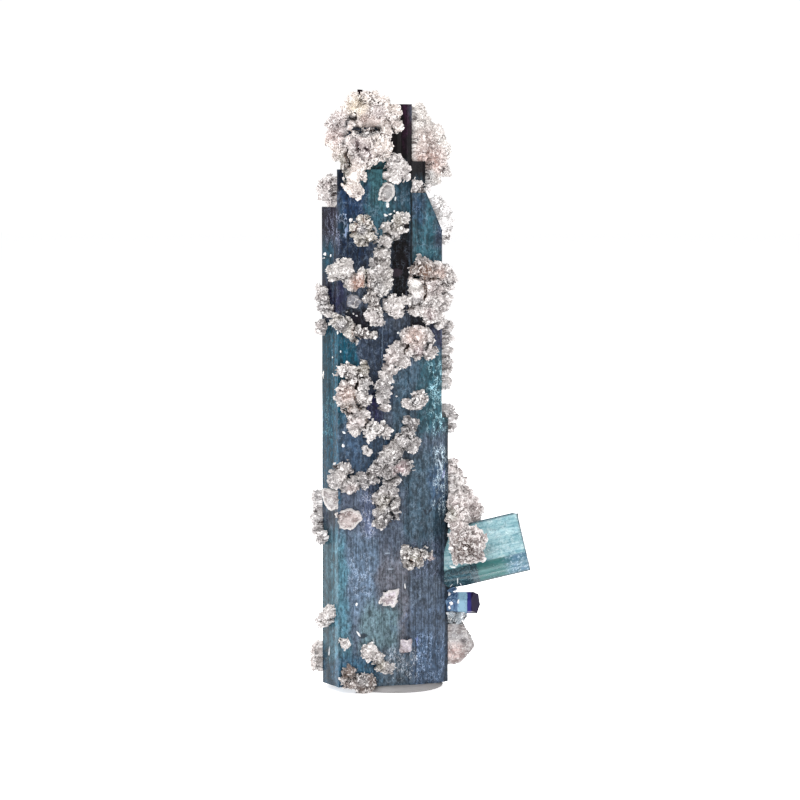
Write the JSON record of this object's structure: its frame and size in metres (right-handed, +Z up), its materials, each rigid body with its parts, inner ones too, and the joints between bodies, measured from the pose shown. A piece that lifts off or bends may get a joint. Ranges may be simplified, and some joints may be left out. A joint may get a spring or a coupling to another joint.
{
  "type": "mineral specimen",
  "caption": "Tall striated blue tourmaline prism with a pale side crystal, crusted with bladed cleavelandite, standing on a low putty pad.",
  "frame": {"origin": "on the tall prism's axis at the underside of the pad, where the specimen rests", "axes": "+Z up along the prism, +X to the right seen from the front, where the side crystal leans out, front faces -Y"},
  "size_m": [0.0221, 0.0128, 0.0598],
  "materials": {
    "blue_tourmaline": "glassy, striated along its length",
    "pale_tourmaline": "clear, glassy",
    "violet_tourmaline": "glassy",
    "cleavelandite": "satin, bladed",
    "cleavelandite_flake": "satin, smooth cleavage",
    "putty": "matt"
  },
  "bodies": {
    "root": {"tourmaline_prism": "blue_tourmaline", "tourmaline_side": "pale_tourmaline", "tourmaline_buds": "violet_tourmaline", "tourmaline_tip": "violet_tourmaline", "putty_pad": "putty", "cleavelandite_crown": "cleavelandite", "cleavelandite_crown_behind": "cleavelandite", "cleavelandite_rosette_brow": "cleavelandite", "cleavelandite_knob_left": "cleavelandite", "cleavelandite_chips_right": "cleavelandite", "cleavelandite_shoulder": "cleavelandite", "cleavelandite_knot_upper": "cleavelandite", "cleavelandite_spine": "cleavelandite", "cleavelandite_rim_left": "cleavelandite", "cleavelandite_bead_left": "cleavelandite", "cleavelandite_band": "cleavelandite", "cleavelandite_rosette_mid": "cleavelandite", "cleavelandite_cascade": "cleavelandite", "cleavelandite_selvage": "cleavelandite", "cleavelandite_chips_rim": "cleavelandite", "cleavelandite_peach": "cleavelandite", "cleavelandite_drift": "cleavelandite", "cleavelandite_rosette_right": "cleavelandite", "cleavelandite_garland": "cleavelandite", "cleavelandite_fringe_left": "cleavelandite", "cleavelandite_starfish": "cleavelandite", "cleavelandite_tuft_left": "cleavelandite", "cleavelandite_knob_foot_left": "cleavelandite", "cleavelandite_speck_low": "cleavelandite", "cleavelandite_hook": "cleavelandite", "cleavelandite_toe": "cleavelandite", "cleavelandite_spur": "cleavelandite", "cleavelandite_chips_bud": "cleavelandite", "cleavelandite_back_crest": "cleavelandite", "cleavelandite_back_chain": "cleavelandite", "cleavelandite_back_rosette": "cleavelandite", "cleavelandite_back_drift": "cleavelandite", "cleavelandite_back_knot": "cleavelandite", "cleavelandite_back_fan": "cleavelandite", "cleavelandite_back_chip": "cleavelandite", "cleavelandite_back_toe": "cleavelandite", "flake_brow": "cleavelandite_flake", "flake_spine": "cleavelandite_flake", "flake_crumb": "cleavelandite_flake", "flake_shell": "cleavelandite_flake", "flake_low": "cleavelandite_flake", "flake_waist": "cleavelandite_flake", "flake_wedge": "cleavelandite_flake", "flake_square": "cleavelandite_flake"}
  },
  "joints": []
}
